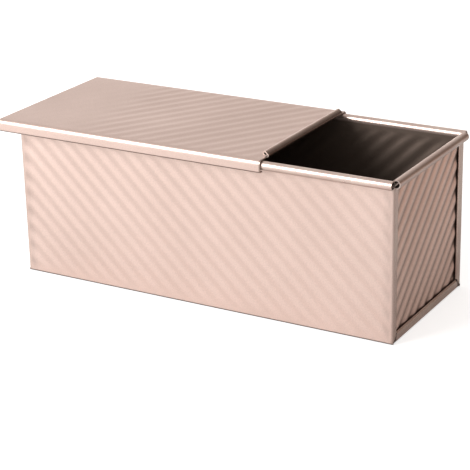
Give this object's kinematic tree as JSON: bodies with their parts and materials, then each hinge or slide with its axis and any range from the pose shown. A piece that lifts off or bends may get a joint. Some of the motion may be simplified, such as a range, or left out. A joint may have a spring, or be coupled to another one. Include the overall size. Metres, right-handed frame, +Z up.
{
  "type": "pullman loaf pan",
  "caption": "Straight-sided loaf pan of ridged coated sheet steel, with rolled wired rims, end panels hemmed into the body, and a ridged lid that slides along the long rims.",
  "frame": {"origin": "middle of the pan's floor, on the plane that the pan rests on", "axes": "+X along the pan towards the rolled end of the lid, -Y towards the front wall, +Z up"},
  "size_m": [0.2986, 0.123, 0.1151],
  "materials": {
    "coated_sheet": "satin champagne non-stick coating with a faint metallic fleck",
    "wire_steel": "bare drawn wire"
  },
  "bodies": {
    "pan": {"pan_body": "coated_sheet", "left_end_panel": "coated_sheet", "right_end_panel": "coated_sheet", "front_rim_wire": "wire_steel", "back_rim_wire": "wire_steel", "left_rim_wire": "wire_steel", "right_rim_wire": "wire_steel"},
    "lid": {"lid": "coated_sheet"}
  },
  "joints": [
    {"name": "lid_slide", "type": "slide", "parent": "pan", "child": "lid", "axis": [1, 0, 0], "range_m": [-0.184, 0.09]}
  ]
}
